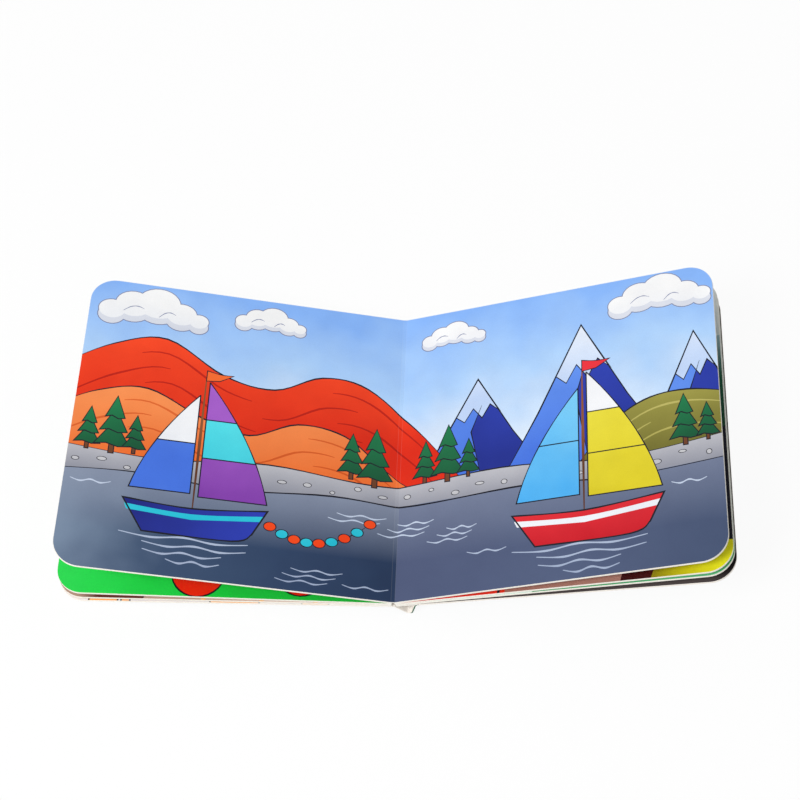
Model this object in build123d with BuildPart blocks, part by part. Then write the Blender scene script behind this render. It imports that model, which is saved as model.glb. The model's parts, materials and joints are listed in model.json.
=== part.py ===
"""A board book that lies open at its middle spread, on a table at z = 0.

X runs across the spread, to the right-hand page, Y runs up the pages to their heads, and Z is up.
The origin is on the table, under the middle of the open book.
"""

import os
from math import cos, radians, sin, tan

from build123d import *

os.makedirs("parts", exist_ok=True)

# Driving dimensions, in millimetres.
page_width = 150
page_height = 150
corner_radius = 12
# A leaf is two folded sheets pasted back to back. A cover is the wrap and one sheet.
sheet_thickness = 0.6
wrap_thickness = 0.6
# The open spread lies flat between two creases, this far apart.
gutter_strip_width = 1.7

# Angle of each board above the level, in degrees, outwards from the gutter and from the top leaf down.
left_leaf_angles = (10.8, 0, -1.4)
right_leaf_angles = (21.5, 17.75, 16.8)
front_cover_angle = -2.2
back_cover_angle = 14.7

# The wrap is creased this far from the block's outermost folds, where the covers turn.
crease_distance = 10
crease_clearance = 0.15
# Round the spine the wrap runs past the front fold, slopes down by this angle, rests on the table on
# a narrow flat, and goes up again to where it is pasted to the back stub, over this width.
spine_overlap = 1.6
spine_angle = 45
spine_flat_width = 0.4
back_paste_width = 1.2
wrap_bend_radius = 0.9

# Two lengths that differ by less than this are the same.
length_tolerance = 0.001

# Derived sizes.
leaf_thickness = 2 * sheet_thickness
cover_thickness = sheet_thickness + wrap_thickness
leaf_width = page_width - gutter_strip_width / 2

# Which way a board runs along X, from the gutter.
left_sign = -1
right_sign = 1


def outward(side, angle):
    """One step along a board, away from the gutter."""
    return Vector(side * cos(radians(angle)), sin(radians(angle)))


def downward(side, angle):
    """One step through a board, from its upper face to its lower face."""
    return Vector(side * sin(radians(angle)), -cos(radians(angle)))


def fold_places(side, angles):
    """The inner end of each leaf's upper face, then of the cover's, from the gutter's crease down."""
    places = [Vector(side * gutter_strip_width / 2, 0)]
    for angle in angles:
        places.append(places[-1] + downward(side, angle) * leaf_thickness)
    return places


def fore_edge_corners(side, places, angles, thicknesses):
    """The upper and lower corner of each board's fore edge."""
    corners = []
    for place, angle, thickness in zip(places, angles, thicknesses):
        upper = place + outward(side, angle) * leaf_width
        corners += [upper, upper + downward(side, angle) * thickness]
    return corners


def outer_edges(piece):
    """The short edges through each board's thickness, at its fore edge."""
    return piece.edges().filter_by(
        lambda edge: abs(edge.center().X - gutter.X) > page_width / 2
        and min(abs(edge.length - leaf_thickness), abs(edge.length - cover_thickness)) < length_tolerance
    )


# The gutter's place: the front cover's fore edge rests on the table, and the book is centred on X = 0.
board_thicknesses = (leaf_thickness, leaf_thickness, leaf_thickness, cover_thickness)
left_board_angles = (*left_leaf_angles, front_cover_angle)
right_board_angles = (*right_leaf_angles, back_cover_angle)
left_places = fold_places(left_sign, left_leaf_angles)
right_places = fold_places(right_sign, right_leaf_angles)
left_corners = fore_edge_corners(left_sign, left_places, left_board_angles, board_thicknesses)
right_corners = fore_edge_corners(right_sign, right_places, right_board_angles, board_thicknesses)
left_reach = min(corner.X for corner in left_corners)
right_reach = max(corner.X for corner in right_corners)
gutter = Vector(-(left_reach + right_reach) / 2, -left_corners[-1].Y)

left_folds = [gutter + place for place in left_places]
right_folds = [gutter + place for place in right_places]
front_fold = left_folds[-1]
back_fold = right_folds[-1]
stub_length = crease_distance - cover_thickness / 2 - crease_clearance

# Page block: the fanned leaves, joined by their folds and by the sheet that crosses the gutter.
with BuildPart() as page_block:
    with BuildSketch(Plane.XZ):
        for side, folds, angles, cover_angle in (
            (left_sign, left_folds, left_leaf_angles, front_cover_angle),
            (right_sign, right_folds, right_leaf_angles, back_cover_angle),
        ):
            inner_corner = (Align.MIN if side == right_sign else Align.MAX, Align.MAX)
            for fold, angle in zip(folds, angles):
                with Locations(fold):
                    Rectangle(leaf_width, leaf_thickness, rotation=side * angle, align=inner_corner)
            # Each sheet turns back at its fold, from one leaf's lower half to the next one's upper half.
            with Locations(*folds[1:]):
                Circle(sheet_thickness)
            # The outermost half sheet goes on, pasted to the wrap, as far as the crease.
            with Locations(folds[-1]):
                Rectangle(stub_length, sheet_thickness, rotation=side * cover_angle, align=inner_corner)
        with BuildLine():
            Polyline(
                left_folds[0],
                right_folds[0],
                right_folds[0] + downward(right_sign, right_leaf_angles[0]) * sheet_thickness,
                left_folds[0] + downward(left_sign, left_leaf_angles[0]) * sheet_thickness,
                close=True,
            )
        make_face()
    extrude(amount=page_height / 2, both=True)
    fillet(outer_edges(page_block), radius=corner_radius)
page_block.part.label = "page_block"
export_step(page_block.part, "parts/page_block.step")

# Covers: boards with a round nose at the crease, which is the line that they turn on.
for name, side, fold, angle in (
    ("front_cover", left_sign, front_fold, front_cover_angle),
    ("back_cover", right_sign, back_fold, back_cover_angle),
):
    crease = fold + outward(side, angle) * crease_distance + downward(side, angle) * (cover_thickness / 2)
    inner_middle = (Align.MIN if side == right_sign else Align.MAX, Align.CENTER)
    with BuildPart() as cover:
        with BuildSketch(Plane.XZ):
            with Locations(crease):
                Rectangle(
                    leaf_width - crease_distance, cover_thickness, rotation=side * angle, align=inner_middle
                )
                Circle(cover_thickness / 2)
        extrude(amount=page_height / 2, both=True)
        fillet(outer_edges(cover), radius=corner_radius)
    cover.part.label = name
    export_step(cover.part, f"parts/{name}.step")

# Spine: the bent middle of the wrap, drawn along the middle of its thickness.
def on_wrap(side, fold, angle, distance):
    """A point of the wrap under a stub, at a distance from the fold that the stub comes from."""
    return (
        fold
        + outward(side, angle) * distance
        + downward(side, angle) * (sheet_thickness + wrap_thickness / 2)
    )


spine_top = on_wrap(left_sign, front_fold, front_cover_angle, -spine_overlap)
spine_drop = spine_top.Y - wrap_thickness / 2
spine_foot = spine_top + Vector(spine_drop / tan(radians(spine_angle)), -spine_drop)
with BuildPart() as spine:
    with BuildSketch(Plane.XZ):
        with BuildLine():
            FilletPolyline(
                on_wrap(left_sign, front_fold, front_cover_angle, stub_length),
                spine_top,
                spine_foot,
                spine_foot + Vector(spine_flat_width + 2 * wrap_bend_radius, 0),
                on_wrap(right_sign, back_fold, back_cover_angle, stub_length - back_paste_width),
                on_wrap(right_sign, back_fold, back_cover_angle, stub_length),
                radius=wrap_bend_radius,
            )
        trace(line_width=wrap_thickness)
    extrude(amount=page_height / 2, both=True)
spine.part.label = "spine"
export_step(spine.part, "parts/spine.step")
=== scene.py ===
"""A board book that lies open at its middle spread: printed sheets on white card, on a pale studio floor.

Lengths are in metres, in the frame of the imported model: X across the spread, Y up the pages, Z up.
Pictures are drawn flat, in millimetres: u runs across from the middle of the gutter, outwards to the right,
and v runs up from the middle of the page.
"""

import json
from math import cos, pi, radians, sin

import bpy
import numpy as np
from mathutils import Matrix, Vector
from mathutils.geometry import delaunay_2d_cdt, interpolate_bezier


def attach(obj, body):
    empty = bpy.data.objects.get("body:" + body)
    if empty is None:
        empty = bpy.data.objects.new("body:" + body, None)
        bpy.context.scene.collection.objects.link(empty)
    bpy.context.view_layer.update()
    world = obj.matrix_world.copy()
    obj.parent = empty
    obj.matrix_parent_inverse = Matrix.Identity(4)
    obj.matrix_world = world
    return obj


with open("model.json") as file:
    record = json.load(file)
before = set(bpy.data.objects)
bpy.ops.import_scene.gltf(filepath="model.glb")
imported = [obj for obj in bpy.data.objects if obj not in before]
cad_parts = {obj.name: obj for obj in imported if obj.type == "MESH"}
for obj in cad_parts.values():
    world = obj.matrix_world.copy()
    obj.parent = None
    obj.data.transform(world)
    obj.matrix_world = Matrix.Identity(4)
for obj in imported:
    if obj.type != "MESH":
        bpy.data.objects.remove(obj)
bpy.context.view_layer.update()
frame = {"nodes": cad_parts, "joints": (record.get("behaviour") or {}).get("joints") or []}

# Sizes of the boards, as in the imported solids.
page_width = 0.150
page_height = 0.150
corner_radius = 0.012
sheet_thickness = 0.0006
leaf_thickness = 2 * sheet_thickness
cover_thickness = 2 * sheet_thickness
gutter_half_width = 0.00085
crease_distance = 0.010
leaf_width = page_width - gutter_half_width
left, right = -1, 1
leaf_angles = {left: (10.8, 0.0, -1.4), right: (21.5, 17.75, 16.8)}
cover_angles = {left: -2.2, right: 14.7}
cover_bodies = {left: "front_cover", right: "back_cover"}
side_words = {left: "left", right: "right"}

# The printed film: its thickness, how far it stops short of a cut edge, and the room for two in a fold.
film_thickness = 0.00005
film_inset = 0.00004
film_room = 3 * film_thickness
# How far the film starts from a fold and from a cover's crease.
fold_room = 0.0012
crease_room = fold_room / 4
paste_line_size = 0.00008
# Where the film is worn through to the card: along the cut rims and, faintly, along the gutter's creases,
# whose pale lines are partly a painted highlight.
rim_wear_width = 0.00025
rim_wear_share = 0.5
crease_highlight_and_wear_width = 0.00015
crease_highlight_and_wear_share = 0.07
millimetre = 0.001
corner_steps = 14


# Places of the boards

def outward(side, angle):
    """One step along a board, away from the gutter."""
    return Vector((side * cos(radians(angle)), 0, sin(radians(angle))))


def upward(side, angle):
    """One step out of a board's upper face."""
    return Vector((-side * sin(radians(angle)), 0, cos(radians(angle))))


def board_folds(side):
    """The inner end of each leaf's upper face, then of the cover's, worked out from the cover's crease."""
    joint = next(j for j in frame["joints"] if j["child"] == cover_bodies[side])
    angle = cover_angles[side]
    place = Vector(joint["pos_m"]) - outward(side, angle) * crease_distance
    places = [place + upward(side, angle) * cover_thickness / 2]
    for angle in reversed(leaf_angles[side]):
        places.insert(0, places[0] + upward(side, angle) * leaf_thickness)
    return places


folds = {side: board_folds(side) for side in (left, right)}
board_angles = {side: (*leaf_angles[side], cover_angles[side]) for side in (left, right)}
gutter = (folds[left][0] + folds[right][0]) / 2


# Nodes

def fill(tree, node, inputs):
    """Each input of a node is set to a value, or linked to another node's output."""
    for key, value in inputs.items():
        if isinstance(value, bpy.types.NodeSocket):
            tree.links.new(value, node.inputs[key])
        else:
            node.inputs[key].default_value = value


def put(tree, kind, inputs=None, **settings):
    """A new node with its settings and inputs."""
    node = tree.nodes.new(kind)
    for key, value in settings.items():
        setattr(node, key, value)
    fill(tree, node, inputs or {})
    return node


def calc(tree, operation, *values):
    """The result of a sum in a node tree."""
    return put(tree, "ShaderNodeMath", dict(enumerate(values)), operation=operation).outputs[0]


def vector_calc(tree, operation, *values):
    """The outputs of a sum with vectors in a node tree."""
    return put(tree, "ShaderNodeVectorMath", dict(enumerate(values)), operation=operation).outputs


def split(tree, vector):
    """The X, Y and Z of a vector in a node tree."""
    return put(tree, "ShaderNodeSeparateXYZ", {0: vector}).outputs


def object_place(tree):
    """Where a point of a surface lies, in the book's own frame."""
    return put(tree, "ShaderNodeTexCoord").outputs["Object"]


def span(tree, value, start, end, low, high):
    """A value carried from one range to another, and held at the ends."""
    keys = ("Value", "From Min", "From Max", "To Min", "To Max")
    return put(tree, "ShaderNodeMapRange", dict(zip(keys, (value, start, end, low, high)))).outputs[0]


def noise(tree, place, scale, detail=2.0):
    """Even noise from 0 to 1, with so many grains to a metre."""
    settings = {"Vector": place, "Scale": scale, "Detail": detail}
    return put(tree, "ShaderNodeTexNoise", settings).outputs[0]


def blend_colours(tree, share, first, second, way="MIX"):
    """Two colours mixed by a share. They are the seventh and eighth inputs of the node."""
    inputs = {0: share, 6: first, 7: second}
    return put(tree, "ShaderNodeMix", inputs, data_type="RGBA", blend_type=way).outputs[2]


def blend_values(tree, share, first, second):
    """Two values mixed by a share."""
    return put(tree, "ShaderNodeMix", {0: share, 2: first, 3: second}, data_type="FLOAT").outputs[0]


def colour(red, green, blue):
    """A colour as it looks on the page, from 0 to 255 each, in the shader's linear light."""
    shares = [level / 255 for level in (red, green, blue)]
    return (*[s / 12.92 if s <= 0.04045 else ((s + 0.055) / 1.055) ** 2.4 for s in shares], 1)


def empty_tree(owner):
    """The emptied node tree of a material or of the surround."""
    owner.use_nodes = True
    owner.node_tree.nodes.clear()
    return owner.node_tree


def new_material(name):
    """An empty material with its shader and its output."""
    material = bpy.data.materials.new(name)
    tree = empty_tree(material)
    shader = put(tree, "ShaderNodeBsdfPrincipled")
    put(tree, "ShaderNodeOutputMaterial", {"Surface": shader.outputs[0]})
    return material, tree, shader


def new_group(name, kind, inputs, outputs):
    """An empty node group with named sockets, each of its kind, and its inputs as they come into it."""
    tree = bpy.data.node_groups.new(name, kind)
    for in_out, sockets in (("INPUT", inputs), ("OUTPUT", outputs)):
        for socket, socket_kind in sockets.items():
            tree.interface.new_socket(socket, in_out=in_out, socket_type=f"NodeSocket{socket_kind}")
    return tree, put(tree, "NodeGroupInput").outputs


# Card and ink

card_white = colour(250, 247, 240)
bare_card = colour(255, 250, 244)
fibre_tint = colour(214, 202, 182)
soiling_tint = colour(226, 212, 190)
paste_pale = colour(236, 228, 212)
paste_dark = colour(206, 192, 168)
wrap_green = colour(13, 86, 56)
wrap_green_light = colour(19, 97, 64)
# Shares of full ink where a print is thin and where it is thick, and between and on its fine dots.
thin_ink = (0.94, 0.94, 0.95, 1)
thick_ink = (1.04, 1.04, 1.03, 1)
between_dots = (0.97, 0.97, 0.97, 1)
on_dots = (1.02, 1.02, 1.02, 1)

# Unevenness of the surfaces: grains to a metre, and the range of the noise that shows.
fibre_grain, fibre_range = 1900, (0.35, 0.7)
soiling_grain, soiling_range = 55, (0.5, 0.8)
paste_grain, paste_range = 700, (0.4, 0.65)
wrap_grain = 60
nick_grain, nick_range = 800, (0.48, 0.72)
density_grain, density_range = 65, (0.25, 0.75)
dot_grain = 2600
wash_grain, wash_range = 38, (0.2, 0.8)
wrap_gloss_grain = 260
film_gloss_grain = 240
film_bump_grain = 1500
middle_range = (0.3, 0.7)
# How far fibres and soiling tint the card, and the bump that fibres and film give.
fibre_share = 0.10
soiling_share = 0.12
fibre_bump, fibre_height = 0.25, 0.00006
film_bump, film_height = 0.1, 0.00003
# Roughness from the smoothest to the roughest spot, and gloss.
card_roughness = (0.72, 0.9)
paste_roughness = (0.5, 0.8)
wrap_roughness = (0.38, 0.5)
wrap_inside_roughness = 0.82
film_roughness = (0.4, 0.52)
wear_roughness = 0.35
card_specular = 0.15
paste_specular = 0.2
ink_specular = 0.18


def card_grain(tree, place, shader, white):
    """Gives a shader the looks of card: short fibres, faint soiling, a dry surface. Returns its colour."""
    fibres = noise(tree, place, fibre_grain, 3)
    soiling = noise(tree, place, soiling_grain, 4)
    fibred = blend_colours(tree, span(tree, fibres, *fibre_range, 0, fibre_share), white, fibre_tint)
    aged = blend_colours(tree, span(tree, soiling, *soiling_range, 0, soiling_share), fibred, soiling_tint)
    bump = {"Strength": fibre_bump, "Distance": fibre_height, "Height": fibres}
    fill(tree, shader, {
        "Base Color": aged,
        "Normal": put(tree, "ShaderNodeBump", bump).outputs[0],
        "Roughness": span(tree, fibres, *middle_range, *card_roughness),
        "Specular IOR Level": card_specular,
    })
    return aged


def cut_card():
    """White board, as it shows at the cut edges."""
    material, tree, shader = new_material("cut_card")
    card_grain(tree, object_place(tree), shader, card_white)
    return material


def paste_film():
    """The dried paste between two sheets, which shows as a hair line along a cut edge."""
    material, tree, shader = new_material("dried_paste")
    patchy = span(tree, noise(tree, object_place(tree), paste_grain, 3), *paste_range, 0, 1)
    fill(tree, shader, {
        "Base Color": blend_colours(tree, patchy, paste_pale, paste_dark),
        "Roughness": span(tree, patchy, 0, 1, *paste_roughness),
        "Specular IOR Level": paste_specular,
    })
    return material


def wrap_card(name, facing):
    """Wrap card: green print under satin film where facing is 1, and bare card elsewhere."""
    material, tree, shader = new_material(name)
    coordinates = put(tree, "ShaderNodeTexCoord").outputs
    place = coordinates["Object"]
    bare = card_grain(tree, place, shader, bare_card)
    density = span(tree, noise(tree, place, wrap_grain, 3), *middle_range, 0, 1)
    printed = blend_colours(tree, density, wrap_green, wrap_green_light)
    satin = span(tree, noise(tree, place, wrap_gloss_grain), *middle_range, *wrap_roughness)
    side = facing(tree, place, coordinates["Normal"])
    fill(tree, shader, {
        "Base Color": blend_colours(tree, side, bare, printed),
        "Roughness": blend_values(tree, side, wrap_inside_roughness, satin),
    })
    return material


# Slopes that tell a cover's outer face from its cut edges, and the spine's cut ends from its faces.
edge_slope = 0.05
end_slope = 0.5
spine_middle = Vector((gutter.x + 0.0055, 0, gutter.z + 0.0015))
# The spine's rise to the back stub, where the cut ends of the card are coloured the dark green of its outer
# face.
rise_start = gutter.x + 0.0079
rise_end = gutter.x + 0.0108


def faces_outwards_of_cover(side):
    """A test for a cover: 1 on the outer face and round the nose, 0 on the cut edges and inside."""
    down = -upward(side, cover_angles[side])

    def test(tree, place, normal):
        level = vector_calc(tree, "DOT_PRODUCT", normal, down)["Value"]
        return calc(tree, "GREATER_THAN", level, edge_slope)
    return test


def faces_outwards_of_spine(tree, place, normal):
    """The test for the spine: 1 where the card faces away from the hollow and on its ends along the rise, 0
    inside and on its other ends.
    """
    from_middle = vector_calc(tree, "SUBTRACT", place, spine_middle)[0]
    across = vector_calc(tree, "MULTIPLY", from_middle, (1, 0, 1))[0]
    outside = calc(tree, "GREATER_THAN", vector_calc(tree, "DOT_PRODUCT", normal, across)["Value"], 0)
    on_end = calc(tree, "GREATER_THAN", calc(tree, "ABSOLUTE", split(tree, normal)[1]), end_slope)
    run = split(tree, place)[0]
    past_start = calc(tree, "GREATER_THAN", run, rise_start)
    before_end = calc(tree, "LESS_THAN", run, rise_end)
    return blend_values(tree, on_end, outside, calc(tree, "MULTIPLY", past_start, before_end))


def film_finish():
    """The finish that all inks share: uneven density, fine grain, satin film, worn rims, and creases paled
    by wear and a painted highlight.
    """
    outputs = {"Base Color": "Color", "Roughness": "Float", "Normal": "Vector"}
    tree, given = new_group("film_finish", "ShaderNodeTree", {"Ink": "Color"}, outputs)
    place = object_place(tree)
    across = put(tree, "ShaderNodeAttribute", attribute_name="across").outputs["Fac"]
    height = calc(tree, "ABSOLUTE", split(tree, place)[1])

    # How far a point lies inside the board's rounded outline.
    past_side = calc(tree, "MAXIMUM", calc(tree, "SUBTRACT", across, leaf_width - corner_radius), 0)
    past_end = calc(tree, "MAXIMUM", calc(tree, "SUBTRACT", height, page_height / 2 - corner_radius), 0)
    corner = put(tree, "ShaderNodeCombineXYZ", {0: past_side, 1: past_end}).outputs[0]
    inside = calc(tree, "SUBTRACT", corner_radius, vector_calc(tree, "LENGTH", corner)["Value"])
    nicks = span(tree, noise(tree, place, nick_grain, 3), *nick_range, 0, 1)
    rim_wear = calc(tree, "MULTIPLY", span(tree, inside, 0, rim_wear_width, rim_wear_share, 0), nicks)
    # Pale lines along the gutter's creases: partly wear of the film, partly a painted highlight.
    crease_highlight_and_wear = span(tree, calc(tree, "ABSOLUTE", across), 0, crease_highlight_and_wear_width, crease_highlight_and_wear_share, 0)
    worn = calc(tree, "MAXIMUM", rim_wear, crease_highlight_and_wear)

    density = span(tree, noise(tree, place, density_grain, 3), *density_range, 0, 1)
    uneven = blend_colours(tree, density, thin_ink, thick_ink)
    dots = span(tree, noise(tree, place, dot_grain, 1), *middle_range, 0, 1)
    dotted = blend_colours(tree, dots, between_dots, on_dots)
    laid = blend_colours(tree, 1.0, given["Ink"], uneven, "MULTIPLY")
    printed = blend_colours(tree, 1.0, laid, dotted, "MULTIPLY")
    shown = blend_colours(tree, worn, printed, card_white)
    satin = span(tree, noise(tree, place, film_gloss_grain), *middle_range, *film_roughness)
    roughness = calc(tree, "ADD", satin, calc(tree, "MULTIPLY", worn, wear_roughness))
    bump = {"Strength": film_bump, "Distance": film_height, "Height": noise(tree, place, film_bump_grain)}
    film = put(tree, "ShaderNodeBump", bump).outputs[0]
    put(tree, "NodeGroupOutput", {"Base Color": shown, "Roughness": roughness, "Normal": film})
    return tree


card = cut_card()
finish = film_finish()
inks = {}


def ink(name, reach, tones, axis="Y", wander=0.16):
    """A printed colour that runs through its tones along the page, unevenly, like a painted wash."""
    material, tree, shader = new_material(f"{name}_ink")
    place = object_place(tree)
    along = split(tree, place)
    share = span(tree, along[axis], *(mark * millimetre for mark in reach), 0, 1)
    strays = span(tree, noise(tree, place, wash_grain), *wash_range, -wander, wander)
    wash = put(tree, "ShaderNodeValToRGB", {0: calc(tree, "ADD", share, strays)})
    stops = wash.color_ramp.elements
    while len(stops) < len(tones):
        stops.new(1)
    for i, (stop, tone) in enumerate(zip(stops, tones)):
        stop.position = i / (len(tones) - 1)
        stop.color = colour(*tone)
    washed = wash.outputs[0]
    if name in far_tones:
        far = span(tree, along["Y"], *(mark * millimetre for mark in far_reach), 0, 1)
        washed = blend_colours(tree, far, washed, colour(*far_tones[name]))
    dressed = put(tree, "ShaderNodeGroup", {"Ink": washed}, node_tree=finish)
    fill(tree, shader, {**dict(dressed.outputs.items()), "Specular IOR Level": ink_specular})
    inks[name] = material


# Each ink's range on the page, in millimetres, and its tones from the start of it to the end.
inks_up = {
    "line": ((-75, 75), (14, 16, 28), (22, 24, 38)),
    "sky": ((-5, 75), (226, 240, 255), (178, 214, 255), (140, 187, 255)),
    "cloud": ((45, 66), (236, 240, 248), (255, 255, 255)),
    "cloud_shade": ((40, 66), (214, 218, 230), (230, 234, 244)),
    "cloud_line": ((40, 66), (120, 126, 158), (138, 146, 180)),
    "red_hill": ((0, 46), (222, 40, 14), (255, 74, 34)),
    "red_furrow": ((0, 46), (176, 22, 8), (206, 40, 20)),
    "orange_hill": ((-20, 20), (238, 110, 44), (255, 152, 88)),
    "orange_furrow": ((-20, 20), (206, 82, 26), (232, 110, 50)),
    "deep_blue": ((-20, 55), (26, 40, 132), (52, 74, 196)),
    "mid_blue": ((-20, 55), (70, 116, 224), (112, 162, 252)),
    "snow": ((20, 58), (196, 218, 252), (240, 246, 255)),
    "olive": ((-20, 14), (106, 102, 40), (160, 154, 72)),
    "olive_light": ((-20, 14), (166, 158, 78), (198, 190, 108)),
    "pine": ((-22, 12), (8, 66, 42), (30, 128, 78)),
    "trunk": ((-22, 0), (92, 52, 30), (140, 84, 50)),
    "shore": ((-27, -12), (150, 152, 164), (198, 198, 204)),
    "pebble": ((-27, -12), (186, 186, 192), (224, 224, 226)),
    "ripple": ((-75, -25), (158, 172, 200), (206, 218, 238)),
    "cyan": ((-55, 30), (30, 190, 214), (96, 236, 244)),
    "purple": ((-55, 30), (116, 46, 158), (178, 104, 214)),
    "flame": ((-55, 45), (244, 66, 16), (255, 118, 52)),
    "yellow": ((-50, 40), (214, 196, 20), (246, 234, 74)),
    "light_blue": ((-50, 40), (60, 168, 240), (140, 222, 255)),
    "red": ((-60, -30), (196, 18, 34), (238, 52, 62)),
    "white": ((-75, 75), (236, 240, 248), (255, 255, 255)),
    "poppy": ((-75, 60), (252, 34, 10), (255, 66, 36)),
    "teal": ((-6, 46), (8, 66, 40), (20, 84, 58), (156, 184, 190)),
    "lichen": ((44, 75), (206, 214, 212), (246, 248, 244)),
}
inks_across = {
    "hull_blue": ((-130, -60), (20, 26, 104), (44, 62, 180)),
    "meadow": ((-150, 0), (46, 220, 88), (28, 204, 66), (34, 178, 58)),
    "meadow_dark": ((-150, 0), (20, 160, 60), (30, 184, 72)),
    "blush": ((-120, -20), (196, 166, 146), (206, 178, 160), (244, 222, 208)),
    "apricot": ((-150, 0), (255, 184, 100), (255, 204, 134)),
    "brick": ((0, 60), (206, 28, 10), (232, 52, 24)),
    "clay": ((40, 120), (158, 106, 92), (178, 130, 116)),
    "maroon": ((90, 150), (58, 8, 8), (90, 18, 14)),
    "mint": ((0, 150), (214, 244, 228), (234, 252, 242)),
    "fern": ((0, 150), (66, 158, 102), (96, 186, 126)),
}
# The same for inks with a more even wash, after the share by which each one wanders.
even_inks_across = {
    "earth": (0.05, (-138, -122), (190, 158, 138), (104, 50, 38), (110, 56, 44)),
    # Lemon darkens towards the gutter: partly its print, partly painted shade from the leaf above, whose
    # gap narrows there.
    "lemon": (0.08, (112, 140), (146, 132, 12), (206, 196, 14), (234, 230, 28)),
    "charcoal": (0.05, (137, 147), (84, 75, 74), (18, 16, 18)),
    # Left water darkens towards the gutter: partly its print, partly painted gutter shade.
    "left_water": (0.1, (-150, 0), (120, 138, 162), (58, 78, 108), (44, 64, 96), (32, 51, 82)),
    "right_water": (0.1, (0, 145), (76, 86, 118), (80, 92, 123), (66, 80, 110)),
}
# The tones that water fades to towards the shore, and the marks up the page between which it does.
far_tones = {"left_water": (140, 150, 172), "right_water": (120, 130, 156)}
far_reach = (-56, -22)


def mix_inks():
    """Every ink in the book."""
    for name, (reach, *tones) in inks_up.items():
        ink(name, reach, tones)
    for name, (reach, *tones) in inks_across.items():
        ink(name, reach, tones, "X")
    for name, (wander, reach, *tones) in even_inks_across.items():
        ink(name, reach, tones, "X", wander)


# Drawing, in millimetres

curve_steps = 6
line_width = 0.85
fine_line = 0.6
hair_line = 0.5
# A brush line: how much it swells and how often, and its width and slope where the brush lifts off.
brush_swell = 0.15
brush_beat = 1.1
lift_width = 0.35
lift_slope = 3
# How far a corner of a line is held from running to a long point.
least_turn = 0.5
# Furrows of a hill: points of the crest in each and from one to the next, and the steps from row to row.
furrow_points = 13
furrow_spacing = 22
row_offset = 9
row_slant = 1.5
furrow_width = 1.1


def smooth(points):
    """A smooth line through given points."""
    path = [Vector(p) for p in (points[0], *points, points[-1])]
    line = []
    for before, start, end, after in zip(path, path[1:], path[2:], path[3:]):
        handles = start + (end - before) / 6, end - (after - start) / 6
        line += interpolate_bezier(start, *handles, end, curve_steps + 1)[:-1]
    return [tuple(p) for p in line] + [points[-1]]


def oval(u, v, width, height, steps=24):
    """An ellipse round a point."""
    turns = [2 * pi * i / steps for i in range(steps)]
    return [(u + width / 2 * cos(turn), v + height / 2 * sin(turn)) for turn in turns]


def placed(points, u, v, size):
    """A unit shape at its place and size."""
    return [(u + x * size, v + y * size) for x, y in points]


def brush_stroke(points, width, closed=False):
    """A line's quads, drawn with a brush that swells and thins and lifts off at open ends."""
    path = [Vector(p) for p in points]
    count = len(path)
    pairs = []
    for i, here in enumerate(path):
        before = path[i - 1] if closed or i else here
        after = path[(i + 1) % count] if closed or i < count - 1 else here
        come, go = here - before, after - here
        come = come.normalized() if come.length else go.normalized()
        go = go.normalized() if go.length else come
        across = Vector((-(come + go).y, (come + go).x)).normalized()
        stretch = 1 / max(abs(across.dot(Vector((-go.y, go.x)))), least_turn)
        swell = 1 - brush_swell + brush_swell * sin(brush_beat * i + width)
        lift = 1 if closed else min(1, lift_width + lift_slope * min(i, count - 1 - i) / count)
        reach = across * (width / 2 * swell * lift * stretch)
        pairs.append((tuple(here + reach), tuple(here - reach)))
    if closed:
        pairs.append(pairs[0])
    return [[a, b, d, c] for (a, b), (c, d) in zip(pairs, pairs[1:])]


class Picture:
    """Fields of ink in the order in which they lie on each other, as a function draws them."""

    def __init__(self, ground, draw):
        self.ground = ground
        self.fields = []
        draw(self)

    def field(self, ink_name, outline):
        self.fields.append((ink_name, outline))

    def shape(self, ink_name, edge, *corners):
        self.field(ink_name, smooth(edge) + list(corners))

    def line(self, points, width=line_width, ink_name="line", closed=False):
        for quad in brush_stroke(points, width, closed):
            self.field(ink_name, quad)

    def drawn(self, ink_name, outline, width=line_width):
        self.field(ink_name, outline)
        self.line(outline, width, closed=True)


def cloud(picture, u, v, size):
    """A cloud of round puffs, each with a grey foot, with a thin drawn edge and two curls."""
    puffs = ((-1.35, 0.0, 0.95), (-0.6, 0.32, 1.3), (0.3, 0.46, 1.55), (1.15, 0.12, 1.1), (1.8, -0.08, 0.7))
    edge = 0.9
    foot_drop = 0.24
    flatness = 0.82
    layers = (
        ("cloud_line", foot_drop, edge),
        ("cloud_line", 0, edge),
        ("cloud_shade", foot_drop, 0),
        ("cloud", 0, 0),
    )
    for ink_name, drop, more in layers:
        for x, y, across in puffs:
            width = across * size + more
            height = flatness * across * size + more
            picture.field(ink_name, oval(u + x * size, v + (y - drop) * size, width, height))
    for x, y, reach in ((-0.45, 0.1, 0.5), (0.75, 0.0, 0.4)):
        curl = ((-reach, -0.12), (-reach / 2, 0.08), (0, 0.14), (reach / 2, 0.06))
        curl_line = smooth(placed(curl, u + x * size, v + y * size, size))
        picture.line(curl_line, hair_line, "cloud_line")


def ridge(picture, ink_name, crest, foot, furrow_ink=None, furrows=0, gap=7):
    """A field between a drawn crest and its foot, with broken furrows that follow the crest down."""
    top = smooth(crest)
    picture.field(ink_name, top + [(top[-1][0], foot), (top[0][0], foot)])
    for row in range(1, furrows + 1):
        for start in range(row % 2 * row_offset, len(top) - furrow_points + 1, furrow_spacing):
            part = top[start:start + furrow_points]
            furrow = [(u + row_slant * row, v - gap * row) for u, v in part]
            picture.line(furrow, furrow_width, furrow_ink)
    picture.line(top)


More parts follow.
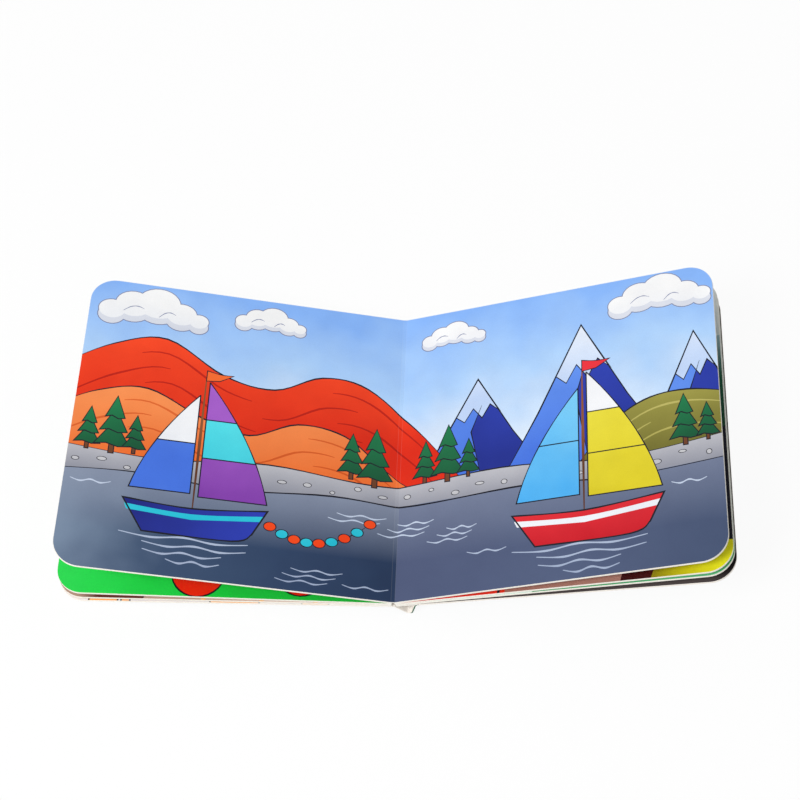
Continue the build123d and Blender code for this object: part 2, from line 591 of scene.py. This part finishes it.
def mountain(picture, foot, start, peak, end):
    """A peak with a lit side, a shaded side and a cap of snow."""
    peak_u, peak_v = peak
    rise = peak_v - foot

    def at(side_end, out, up):
        return peak_u + out * (side_end - peak_u), foot + up * rise

    outline = [(start, foot), at(start, 0.55, 0.42), peak, at(end, 0.5, 0.46), (end, foot)]
    spur = [peak, (peak_u + 2, foot + 0.74 * rise), (peak_u - 3, foot + 0.5 * rise), (peak_u + 3, foot)]
    picture.field("mid_blue", outline)
    picture.field("deep_blue", spur + outline[:2:-1])
    cap_reach = 0.3264
    cap = [at(end, cap_reach * out, up) for out, up in ((1, 0.66), (0.55, 0.74), (0.2, 0.62))]
    cap += [at(start, cap_reach * out, up) for out, up in ((0.2, 0.72), (0.6, 0.6), (1, 0.66))]
    picture.drawn("snow", [*cap, peak], fine_line)
    picture.line(spur[1:], fine_line)
    picture.line(outline)


def pine(picture, u, v, height):
    """A pine of three stacked skirts on a short trunk."""
    trunk = ((-0.04, 0), (0.04, 0), (0.04, 0.2), (-0.04, 0.2))
    picture.drawn("trunk", placed(trunk, u, v, height), hair_line)
    for low, high, reach in ((0.14, 0.56, 0.27), (0.38, 0.78, 0.21), (0.62, 1.0, 0.15)):
        skirt = [(-reach, low), (-reach / 3, low + 0.03), (reach / 3, low - 0.02), (reach, low), (0, high)]
        picture.drawn("pine", placed(skirt, u, v, height), fine_line)


def sail(picture, u, v, size, sail_inks, reach, low, high):
    """A sail of panels, from the foot up, with a straight edge by the mast and a curved outer edge."""
    steps = 5
    belly = 0.55
    mast = 0.03 if reach > 0 else -0.03

    def outer_edge(share):
        return mast + reach * (1 - share) * (1 + belly * share), low + (high - low) * share

    for i, ink_name in enumerate(sail_inks):
        edge = [outer_edge((i + k / steps) / len(sail_inks)) for k in range(steps + 1)]
        panel = [(mast, edge[0][1]), *edge, (mast, edge[-1][1])]
        picture.drawn(ink_name, placed(panel, u, v, size), fine_line)


def boat(picture, u, v, size, hull_ink, stripe_ink, main_inks, jib_inks, flag_ink):
    """A small sailing boat with a painted hull."""
    hull = smooth([(-0.5, 0.08), (0, 0.05), (0.54, 0.1)])
    hull += smooth([(0.44, -0.1), (0.3, -0.17), (-0.34, -0.17)])
    stripe = smooth([(-0.485, 0.035), (0, 0.005), (0.52, 0.055)])
    stripe += [(0.5, 0.01), (0, -0.04), (-0.465, -0.01)]
    flag = smooth([(0, 1.22), (0.1, 1.2), (0.2, 1.2)]) + [(0.1, 1.14), (0, 1.13)]
    mast_width = 1.6
    picture.line(placed([(0, 0.05), (0, 0.6), (0, 1.2)], u, v, size), mast_width, "trunk")
    sail(picture, u, v, size, main_inks, 0.5, 0.15, 1.12)
    sail(picture, u, v, size, jib_inks, -0.44, 0.17, 1.0)
    picture.drawn(flag_ink, placed(flag, u, v, size), hair_line)
    picture.field(hull_ink, placed(hull, u, v, size))
    picture.field(stripe_ink, placed(stripe, u, v, size))
    picture.line(placed(hull, u, v, size), closed=True)
    for row in range(4):
        reach = 0.46 - 0.09 * row
        depth = -0.2 - 0.06 * row
        shift = (row % 2 - 0.5) * 0.08 * size
        wave = [(x * reach, depth + 0.012 * (-1) ** i) for i, x in enumerate((-1, -0.5, 0, 0.5, 1))]
        picture.line(smooth(placed(wave, u + shift, v, size)), 1.0, "ripple")


def floats(picture, start, end, sag, float_inks):
    """A line of small floats on the water, strung on a rope between two points."""
    count = len(float_inks)
    places = []
    for i in range(count):
        share = i / (count - 1)
        drop = 4 * sag * share * (1 - share)
        u, v = (a + (b - a) * share for a, b in zip(start, end))
        places.append((u, v - drop))
    rope_width = 0.7
    float_size = (5.6, 4.4)
    picture.line(smooth(places), rope_width)
    for (u, v), ink_name in zip(places, float_inks):
        picture.drawn(ink_name, oval(u, v, *float_size, 18), hair_line)


# Marks of the bay: how far its fields run past the pages, and the place and size of its two boats.
bay_end = 156
bay_foot = -80
hill_foot = -24
left_boat = (-92, -44, 62)
right_boat = (88, -46, 66)
# Pebbles and ripples: their number, the steps from one to the next, and the water that ripples fill.
pebble_count = 26
pebble_step = 11.6
ripple_count = 40
ripple_step_u, ripple_step_v = 84.666, 23.6
ripples_width, ripples_height = 276, 38
calm_reach = 44


def draw_hills(picture):
    """Blue mountains behind a red, an olive and an orange hill."""
    for start, peak, end in ((6, (38, 34), 72), (112, (140, 40), 170), (50, (88, 54), 130)):
        mountain(picture, -22, start, peak, end)
    crest = [(-158, 26), (-136, 40), (-112, 46), (-84, 30), (-60, 26), (-38, 36), (-16, 33), (8, 12)]
    ridge(picture, "red_hill", crest + [(34, -22)], hill_foot, "red_furrow", 4, 8)
    crest = [(84, -22), (98, -4), (116, 8), (136, 10), (160, 4)]
    ridge(picture, "olive", crest, hill_foot, "olive_light", 3, 6)
    crest = [(-158, 4), (-140, 14), (-118, 18), (-92, 6), (-70, 0), (-48, 9), (-26, 6), (-8, -8), (10, -22)]
    ridge(picture, "orange_hill", crest, hill_foot, "orange_furrow", 3, 7)


def draw_shore(picture):
    """A grey shore with pines and a row of pebbles."""
    points = [(-bay_end, -15), (-110, -18), (-60, -14), (-10, -18), (50, -15), (105, -19), (bay_end, -14)]
    edge = smooth(points)
    picture.field("shore", edge + [(bay_end, -34), (-bay_end, -34)])
    picture.line(edge, 0.7)
    pines = [(-142, -17, 22), (-131, -18, 30), (-121, -17, 20), (-22, -16, 24), (-11, -19, 31)]
    pines += [(13, -17, 22), (24, -18, 30), (34, -17, 20), (134, -18, 26), (144, -17, 19)]
    for u, v, height in pines:
        pine(picture, u, v, height)
    for i in range(pebble_count):
        u = -146 + pebble_step * i
        v = -22.5 + 1.8 * sin(2.4 * i)
        pebble = oval(u, v, 3.4 + sin(1.7 * i), 2 + 0.6 * sin(3.1 * i), 12)
        picture.drawn("pebble", pebble, 0.35)


def draw_water(picture):
    """Water in two tones, one to each page, with short ripples that keep clear of the boats."""
    left_edge = [(-bay_end, -28), (-118, -26), (-76, -29), (-30, -26), (10, -28)]
    right_edge = [(62, -26), (108, -29), (bay_end, -26)]
    edge = smooth(left_edge + right_edge)
    strip = gutter_half_width / millimetre
    picture.field("left_water", edge + [(bay_end, bay_foot), (-bay_end, bay_foot)])
    right_foot = [(strip, bay_foot), (bay_end, bay_foot)]
    picture.field("right_water", right_foot + right_edge[::-1] + [(strip, -27.6)])
    picture.line(edge, 0.9)
    for i in range(ripple_count):
        u = (i * ripple_step_u) % ripples_width - ripples_width / 2
        v = -33 - (i * ripple_step_v) % ripples_height
        if min(abs(u - left_boat[0]), abs(u - right_boat[0])) < calm_reach:
            continue
        reach = 9 + 3 * sin(1.9 * i)
        wave = [(u + k * reach / 2, v + 0.6 * (-1) ** k) for k in range(-2, 3)]
        picture.line(smooth(wave), 0.8, "ripple")


def draw_bay(picture):
    """A bay with hills, mountains and sailing boats, right across both pages."""
    for u, v, size in ((-122, 59, 13), (-66, 62, 8.5), (24, 60, 8), (123, 61, 12)):
        cloud(picture, u, v, size)
    draw_hills(picture)
    draw_shore(picture)
    draw_water(picture)

    main_inks = ("purple", "cyan", "purple")
    jib_inks = ("mid_blue", "white")
    boat(picture, *left_boat, "hull_blue", "cyan", main_inks, jib_inks, "flame")
    floats(picture, (-57, -45), (-12, -38), 9, ("flame", "cyan") * 4 + ("flame",))
    main_inks = ("yellow", "yellow", "white")
    jib_inks = ("light_blue", "light_blue")
    boat(picture, *right_boat, "red", "white", main_inks, jib_inks, "red")


def band(picture, ink_name, u, width):
    """A band of ink that wavers up the page, with a drawn line along each side."""
    middle = [(u, -80), (u + 4, -30), (u - 4, 20), (u + 3, 80)]
    sides = [smooth([(x + shift, y) for x, y in middle]) for shift in (-width / 2, width / 2)]
    picture.field(ink_name, sides[0] + sides[1][::-1])
    for side_line in sides:
        picture.line(side_line, 1.6)


def draw_meadow(picture):
    """A green page with round red flowers."""
    ridge(picture, "meadow_dark", [(-160, 20), (-120, 34), (-80, 22), (-40, 36), (10, 24)], 80)
    for u, v, across in ((-86, -63, 24), (-40, -62, 22), (-126, -10, 20), (-76, -14, 26), (-30, -4, 20)):
        picture.drawn("poppy", oval(u, v, across, across, 28))
        picture.drawn("line", oval(u, v, across / 4, across / 4, 16), 0.4)


def draw_ploughland(picture):
    """Bands of brown and pale earth."""
    ridge(picture, "earth", [(-112, -80), (-108, -60), (-118, -20), (-104, 30), (-112, 80)], -80)
    edge = [(-112, -80), (-106, -40), (-116, 0), (-104, 40), (-112, 80)]
    picture.field("earth", [(-160, -80), *edge, (-160, 80)])
    for u in (-84, -58, -34):
        picture.line(smooth([(u, -80), (u + 6, -30), (u - 4, 20), (u + 5, 80)]), 5, "apricot")


def draw_sunrise(picture):
    """White card with apricot bands between dark lines."""
    for u, width in ((-129, 13), (-119, 4), (-70, 22), (-34, 12)):
        band(picture, "apricot", u, width)


def draw_dunes(picture):
    """Red, clay and yellow fields side by side under a dark sky."""
    picture.shape("brick", [(0, -80), (46, -80), (50, -40), (40, 0), (48, 80)], (0, 80))
    picture.line(smooth([(46, -80), (50, -40), (40, 0), (48, 80)]), 3)
    picture.shape("maroon", [(99, -80), (104, -58), (98, -46), (112, -30)], (160, -30), (160, -80))
    picture.shape("lemon", [(112, -80), (118, -66), (132, -59), (160, -56)], (160, -80))
    picture.shape("line", [(98, -38), (118, -50), (136, -59), (160, -61.5)], (160, 80), (96, 80))
    picture.shape("teal", [(96, -4), (120, 2), (140, -6), (160, -2)], (160, 80), (96, 80))
    picture.shape("lichen", [(96, 40), (120, 48), (140, 42), (160, 45)], (160, 80), (96, 80))


def draw_lawn(picture):
    """Green stripes on a pale ground, with a pale field at the fore edge."""
    picture.shape("fern", [(62, -80), (56, -30), (64, 20), (58, 80)], (160, 80), (160, -80))
    picture.shape("lichen", [(100, -30), (125, -52), (140, -58), (160, -60)], (160, 80), (96, 80))
    for u in (20, 40):
        picture.line(smooth([(u, -80), (u + 4, -20), (u - 3, 30), (u + 2, 80)]), 3, "blush")


def draw_night(picture):
    """A dark page with a darker hill."""
    ridge(picture, "line", [(-10, 10), (40, 28), (90, 6), (130, -30), (160, -36)], 80)


# Printed sheets

def fore_corners(end, radius, height):
    """The rounded fore edge of a sheet that ends at u = end, from its tail to its head."""
    side = right if end > 0 else left
    middle = end - side * radius
    turns = [pi / 2 * i / corner_steps for i in range(corner_steps + 1)]
    tail = [(middle + side * radius * sin(t), -height + radius - radius * cos(t)) for t in turns]
    head = [(u, -v) for u, v in reversed(tail)]
    return tail + head


def sheet_outline(start, end):
    """A sheet's outline, in millimetres, counter-clockwise. Its fore edges are rounded."""
    inset = film_inset / millimetre
    height = page_height / millimetre / 2 - inset
    radius = corner_radius / millimetre - inset
    left_end = [(start, -height), (start, height)]
    right_end = [(end, -height), (end, height)]
    if start < 0:
        left_end = fore_corners(start + inset, radius, height)
    if end > 0:
        right_end = fore_corners(end - inset, radius, height)
    return right_end + left_end[::-1]


def inside_loop(spots, loop):
    """Which of the spots lie inside a closed loop."""
    found = np.zeros(len(spots), bool)
    corners = np.array(loop)
    near = np.flatnonzero(((spots > corners.min(0)) & (spots < corners.max(0))).all(1))
    u, v = spots[near].T
    crossed = np.zeros(len(near), bool)
    for (u1, v1), (u2, v2) in zip(loop, loop[1:] + loop[:1]):
        if v1 != v2:
            crossed ^= ((v1 > v) != (v2 > v)) & (u < (u2 - u1) * (v - v1) / (v2 - v1) + u1)
    found[near] = crossed
    return found


def parted(outline, picture, cuts):
    """The sheet's triangles, each with the ink on top there. None crosses a field's edge or a cut."""
    points, edges = [], []
    for loop in [outline, *(loop for _, loop in picture.fields), *cuts]:
        first = len(points)
        points += [Vector(p) for p in loop]
        edges += [(i, i + 1) for i in range(first, len(points) - 1)] + [(len(points) - 1, first)]
    whole_hull = 0
    closeness = 1e-4
    with_origins = False
    spots, _, triangles, *_ = delaunay_2d_cdt(points, edges, [], whole_hull, closeness, with_origins)
    middles = np.array([[sum(spots[i][k] for i in t) / 3 for k in (0, 1)] for t in triangles])
    names = [picture.ground, *(ink_name for ink_name, _ in picture.fields)]
    top = np.zeros(len(triangles), int)
    for i, (_, loop) in enumerate(picture.fields, 1):
        top[inside_loop(middles, loop)] = i
    on_sheet = inside_loop(middles, outline)
    kept = [(list(t), names[i]) for t, i, keep in zip(triangles, top, on_sheet) if keep]
    used = sorted({i for triangle, _ in kept for i in triangle})
    order = {old: new for new, old in enumerate(used)}
    return [tuple(spots[i]) for i in used], [([order[i] for i in t], name) for t, name in kept]


def new_object(name, data):
    """An object in the scene, at the origin."""
    made = bpy.data.objects.new(name, data)
    bpy.context.scene.collection.objects.link(made)
    return made


def new_piece(name, mesh, body):
    """A mesh as a piece of the book that rides on a body."""
    piece = new_object(name, mesh)
    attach(piece, body)


def printed_sheet(name, outline, picture, lay, fold, body, slot, cuts=()):
    """A thin closed sheet of printed film, laid on its board, with its picture as fields of ink."""
    spots, triangles = parted(outline, picture, cuts)
    count = len(spots)
    faces = [triangle for triangle, _ in triangles]
    names = sorted({ink_name for _, ink_name in triangles})
    slots = [names.index(ink_name) for _, ink_name in triangles]
    edges = {(t[i - 1], t[i]) for t in faces for i in range(3)}
    rim = [(a, b) for a, b in edges if (b, a) not in edges]
    backs = [[i + count for i in reversed(t)] for t in faces]
    walls = [[a, a + count, b + count, b] for a, b in sorted(rim)]
    coordinates = [lay(u, v, film_thickness) for u, v in spots] + [lay(u, v, 0) for u, v in spots]
    mesh = bpy.data.meshes.new(name)
    mesh.from_pydata(coordinates, [], faces + backs + walls)
    for ink_name in names:
        mesh.materials.append(inks[ink_name])
    mesh.materials.append(card)
    hidden = [len(names)] * (len(backs) + len(walls))
    mesh.polygons.foreach_set("material_index", slots + hidden)
    distances = [abs(u) * millimetre - fold for u, _ in spots]
    mesh.attributes.new("across", "FLOAT", "POINT").data.foreach_set("value", distances + distances)
    new_piece(name, mesh, body)


def on_board(side, board, run, v, height):
    """A point over a board's upper face, at a run from its fold."""
    angle = board_angles[side][board]
    place = folds[side][board] + outward(side, angle) * run + upward(side, angle) * height
    return place + Vector((0, v * millimetre, 0))


def board_lay(side, board):
    """Lays a sheet on a board's upper face."""
    return lambda u, v, height: on_board(side, board, abs(u) * millimetre, v, height)


def spread_lay(u, v, height):
    """A point of the open spread's sheet, which is folded up at both edges of the gutter strip."""
    run = u * millimetre
    side = right if run > 0 else left
    past = abs(run) - gutter_half_width
    on_crease = film_inset / 10
    if past < -on_crease:
        return gutter + Vector((run, v * millimetre, height))
    if past > on_crease:
        return on_board(side, 0, past, v, height)
    rise = upward(side, leaf_angles[side][0] / 2) * height
    return folds[side][0] + rise + Vector((0, v * millimetre, 0))


def fold_start(side, board):
    """Where a sheet starts on a board's upper face: past the fold, with room for two films."""
    opening = radians(board_angles[side][board - 1] - board_angles[side][board])
    return max(fold_room, film_room / sin(opening))


def print_open_spread():
    """The open spread's sheet, in one piece across both pages and the gutter."""
    width = page_width / millimetre
    strip = gutter_half_width / millimetre
    creases = [((u, -width), (u, width)) for u in (-strip, 0, strip)]
    outline = sheet_outline(-width, width)
    place = (spread_lay, gutter_half_width, "block", "page_board")
    printed_sheet("open_spread_print", outline, Picture("sky", draw_bay), *place, creases)


def board_place(side, board):
    """A board's body, the stem of its pieces' names, and its slot."""
    if board == len(leaf_angles[side]):
        return cover_bodies[side], cover_bodies[side], "cover_board"
    return "block", f"{side_words[side]}_leaf_{board + 1}", "page_board"


def print_upper_faces():
    """The sheets on the boards under the open spread, which show in the fan."""
    pages = {
        left: (("meadow", draw_meadow), ("blush", draw_ploughland), ("white", draw_sunrise)),
        right: (("clay", draw_dunes), ("mint", draw_lawn), ("charcoal", draw_night)),
    }
    for side in (left, right):
        for board, page in enumerate(pages[side], 1):
            body, stem, slot = board_place(side, board)
            start, face = fold_start(side, board), "upper"
            if body == cover_bodies[side]:
                start, face = crease_distance + crease_room, "inside"
            ends = sorted((side * start / millimetre, side * leaf_width / millimetre))
            place = (board_lay(side, board), 0, body, slot)
            printed_sheet(f"{stem}_{face}_print", sheet_outline(*ends), Picture(*page), *place)


# Plain sheets and paste lines, made by Geometry Nodes

def across_board(tree):
    """A point's place across the board, from its middle towards the fold."""
    return split(tree, put(tree, "GeometryNodeInputPosition").outputs[0])[0]


def square(tree, width, height):
    """A rectangle of four straight lines, round the origin."""
    sides = {"Width": width, "Height": height}
    return put(tree, "GeometryNodeCurvePrimitiveQuadrilateral", sides).outputs[0]


def fore_outline(tree, given, closed):
    """A board's outline with its fold side at +X, and its two fore-edge corners rounded."""
    box = square(tree, given["Width"], given["Height"])
    outline = put(tree, "GeometryNodeSetSplineCyclic", {"Geometry": box, "Cyclic": closed}).outputs[0]
    fore = calc(tree, "LESS_THAN", across_board(tree), 0.0)
    radius = calc(tree, "MULTIPLY", fore, given["Corner Radius"])
    corners = {"Curve": outline, "Count": corner_steps, "Radius": radius}
    return put(tree, "GeometryNodeFilletCurve", corners, mode="POLY").outputs[0]


def end_tree(tree, geometry, material):
    """The end of a geometry tree: one plain mesh in its material."""
    whole = put(tree, "GeometryNodeRealizeInstances", {0: geometry}).outputs[0]
    finished = put(tree, "GeometryNodeSetMaterial", {"Geometry": whole, "Material": material})
    put(tree, "NodeGroupOutput", {0: finished.outputs[0]})
    return tree


def new_geometry_tree(name, sizes, material):
    """An empty geometry tree with named inputs for its sizes and its material."""
    inputs = {**dict.fromkeys(sizes, "Float"), material: "Material"}
    return new_group(name, "GeometryNodeTree", inputs, {"Geometry": "Geometry"})


def plain_sheet_tree():
    """A thin closed sheet of film with two round corners. Each point keeps its distance from the fold."""
    sizes = ("Width", "Height", "Corner Radius", "Film Thickness", "Fold Distance")
    tree, given = new_geometry_tree("plain_sheet", sizes, "Ink")
    flat = put(tree, "GeometryNodeFillCurve", {0: fore_outline(tree, given, True)}, mode="NGONS").outputs[0]
    lift = {"Mesh": flat, "Offset Scale": given["Film Thickness"], "Individual": False}
    raised = put(tree, "GeometryNodeExtrudeMesh", lift, mode="FACES").outputs["Mesh"]
    joined = put(tree, "GeometryNodeJoinGeometry")
    tree.links.new(raised, joined.inputs[0])
    tree.links.new(put(tree, "GeometryNodeFlipFaces", {0: flat}).outputs[0], joined.inputs[0])
    seam = {"Geometry": joined.outputs[0], "Distance": film_thickness / 10}
    closed = put(tree, "GeometryNodeMergeByDistance", seam).outputs[0]
    half = calc(tree, "DIVIDE", given["Width"], 2.0)
    from_fold = calc(tree, "ADD", calc(tree, "SUBTRACT", half, across_board(tree)), given["Fold Distance"])
    kept = {"Geometry": closed, "Name": "across", "Value": from_fold}
    named = put(tree, "GeometryNodeStoreNamedAttribute", kept, data_type="FLOAT", domain="POINT")
    return end_tree(tree, named.outputs[0], given["Ink"])


def paste_line_tree():
    """The hair line of paste along a board's three cut edges."""
    sizes = ("Width", "Height", "Corner Radius", "Line Size")
    tree, given = new_geometry_tree("paste_line", sizes, "Paste")
    profile = square(tree, given["Line Size"], given["Line Size"])
    sweep = {"Curve": fore_outline(tree, given, False), "Profile Curve": profile, "Fill Caps": True}
    swept = put(tree, "GeometryNodeCurveToMesh", sweep).outputs[0]
    return end_tree(tree, swept, given["Paste"])


def grown(tree, name, values):
    """A plain mesh made by a geometry tree with these inputs."""
    seed = new_object(name, bpy.data.meshes.new(name))
    modifier = seed.modifiers.new(tree.name, "NODES")
    modifier.node_group = tree
    for item in tree.interface.items_tree:
        if item.in_out == "INPUT":
            modifier[item.identifier] = values[item.name]
    graph = bpy.context.evaluated_depsgraph_get()
    mesh = bpy.data.meshes.new_from_object(
        seed.evaluated_get(graph), preserve_all_data_layers=True, depsgraph=graph
    )
    bpy.data.objects.remove(seed)
    mesh.name = name
    # Joined geometry comes with an empty slot before its material.
    while mesh.materials[0] is None:
        mesh.materials.pop(index=0)
    return mesh


def grow_piece(tree, side, board, kind, start, inset, depth, facing, values):
    """A piece that a geometry tree makes round the origin, its fold side at +X, laid on or in a board."""
    body, stem, slot = board_place(side, board)
    name = f"{stem}_{kind}"
    angle = board_angles[side][board]
    inward = -outward(side, angle)
    normal = upward(side, angle) * facing
    turn = Matrix((inward, normal.cross(inward), normal)).transposed().to_4x4()
    middle = on_board(side, board, (start - inset + leaf_width) / 2, 0, -depth)
    sizes = {
        "Width": leaf_width - start - inset,
        "Height": page_height - 2 * inset,
        "Corner Radius": corner_radius - inset,
    }
    mesh = grown(tree, name, {**sizes, **values})
    mesh.transform(Matrix.Translation(middle) @ turn)
    new_piece(name, mesh, body)


def print_lower_faces():
    """The sheets under each leaf, hidden in the fan, in one colour each."""
    tree = plain_sheet_tree()
    sheet_inks = {left: ("meadow", "blush", "apricot"), right: ("white", "mint", "charcoal")}
    for side in (left, right):
        for leaf, ink_name in enumerate(sheet_inks[side]):
            start = fold_start(side, leaf + 1)
            values = {"Film Thickness": film_thickness, "Fold Distance": start, "Ink": inks[ink_name]}
            grow_piece(tree, side, leaf, "lower_print", start, film_inset, leaf_thickness, -1, values)


def run_paste_lines():
    """A line of paste along the cut edges of every leaf and both covers."""
    tree = paste_line_tree()
    values = {"Line Size": paste_line_size, "Paste": paste_film()}
    for side in (left, right):
        for board in range(len(board_angles[side])):
            start = fold_room if board < len(leaf_angles[side]) else crease_distance
            grow_piece(tree, side, board, "paste_line", start, 0, leaf_thickness / 2, 1, values)


# Studio

camera_azimuth = 2.218
camera_elevation = 58.466
camera_distance = 0.8255
aim_right = 0.00028
aim_up = 0.02534
camera_lens = 80.3
camera_sensor = 36
floor_white = colour(250, 250, 250)
floor_reach = 3.0
floor_drop = 0.0002
floor_clear_share = 0.93
key_place = Vector((-0.60, -0.65, 1.13))
key_size = 0.5
key_power = 12.0
sky_level = 0.5


def stand_camera():
    """The camera at the photograph's angle, over the tail of the book."""
    turn, rise = radians(camera_azimuth), radians(camera_elevation)
    back = Vector((sin(turn) * cos(rise), -cos(turn) * cos(rise), sin(rise)))
    aside = Vector((cos(turn), sin(turn), 0))
    above = back.cross(aside)
    lens = bpy.data.cameras.new("camera")
    lens.lens = camera_lens
    lens.sensor_width = camera_sensor
    camera = new_object("camera", lens)
    place = gutter + aside * aim_right + above * aim_up + back * camera_distance
    camera.matrix_world = Matrix.Translation(place) @ Matrix((aside, above, back)).transposed().to_4x4()
    bpy.context.scene.camera = camera


def seen_directly(tree):
    """1 for what the camera sees, also in a mirror or through glass, and 0 for light that bounces."""
    rays = put(tree, "ShaderNodeLightPath").outputs
    either = calc(tree, "MAXIMUM", rays["Is Camera Ray"], rays["Is Glossy Ray"])
    return calc(tree, "MAXIMUM", either, rays["Is Transmission Ray"])


def lay_floor():
    """A plain white floor that keeps a faint shadow, and hides no cover that is turned below it."""
    material = bpy.data.materials.new("studio_floor")
    tree = empty_tree(material)
    matt = put(tree, "ShaderNodeBsdfDiffuse", {"Color": floor_white})
    clear = put(tree, "ShaderNodeBsdfTransparent")
    from_above = calc(tree, "MULTIPLY", seen_directly(tree), floor_clear_share)
    from_below = put(tree, "ShaderNodeNewGeometry").outputs["Backfacing"]
    share = calc(tree, "MAXIMUM", from_above, from_below)
    mixed = put(tree, "ShaderNodeMixShader", {0: share, 1: matt.outputs[0], 2: clear.outputs[0]})
    put(tree, "ShaderNodeOutputMaterial", {"Surface": mixed.outputs[0]})
    quarters = ((-1, -1), (1, -1), (1, 1), (-1, 1))
    mesh = bpy.data.meshes.new("floor")
    mesh.from_pydata([(x * floor_reach, y * floor_reach, -floor_drop) for x, y in quarters], [], [range(4)])
    mesh.materials.append(material)
    new_object("floor", mesh)


def light_studio():
    """An even white surround and one large soft lamp, at a plain level."""
    world = bpy.data.worlds.new("studio")
    bpy.context.scene.world = world
    tree = empty_tree(world)
    level = span(tree, seen_directly(tree), 0, 1, sky_level, 1)
    surround = put(tree, "ShaderNodeBackground", {"Color": (1, 1, 1, 1), "Strength": level})
    put(tree, "ShaderNodeOutputWorld", {"Surface": surround.outputs[0]})
    lamp = bpy.data.lights.new("key_lamp", "AREA")
    lamp.shape = "DISK"
    lamp.size = key_size
    lamp.energy = key_power
    key = new_object("key_lamp", lamp)
    key.location = key_place
    key.rotation_euler = (gutter - key_place).to_track_quat("-Z", "Y").to_euler()


def dress_boards():
    """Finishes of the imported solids: cut card, and the green wrap outside."""
    finishes = {"page_block": card, "spine": wrap_card("spine_wrap", faces_outwards_of_spine)}
    for side in (left, right):
        name = cover_bodies[side]
        finishes[name] = wrap_card(f"{name}_wrap", faces_outwards_of_cover(side))
    for name, material in finishes.items():
        materials = frame["nodes"][name].data.materials
        materials.clear()
        materials.append(material)


mix_inks()
dress_boards()
print_open_spread()
print_upper_faces()
print_lower_faces()
run_paste_lines()
stand_camera()
lay_floor()
light_studio()
bpy.context.scene.view_settings.view_transform = "Standard"
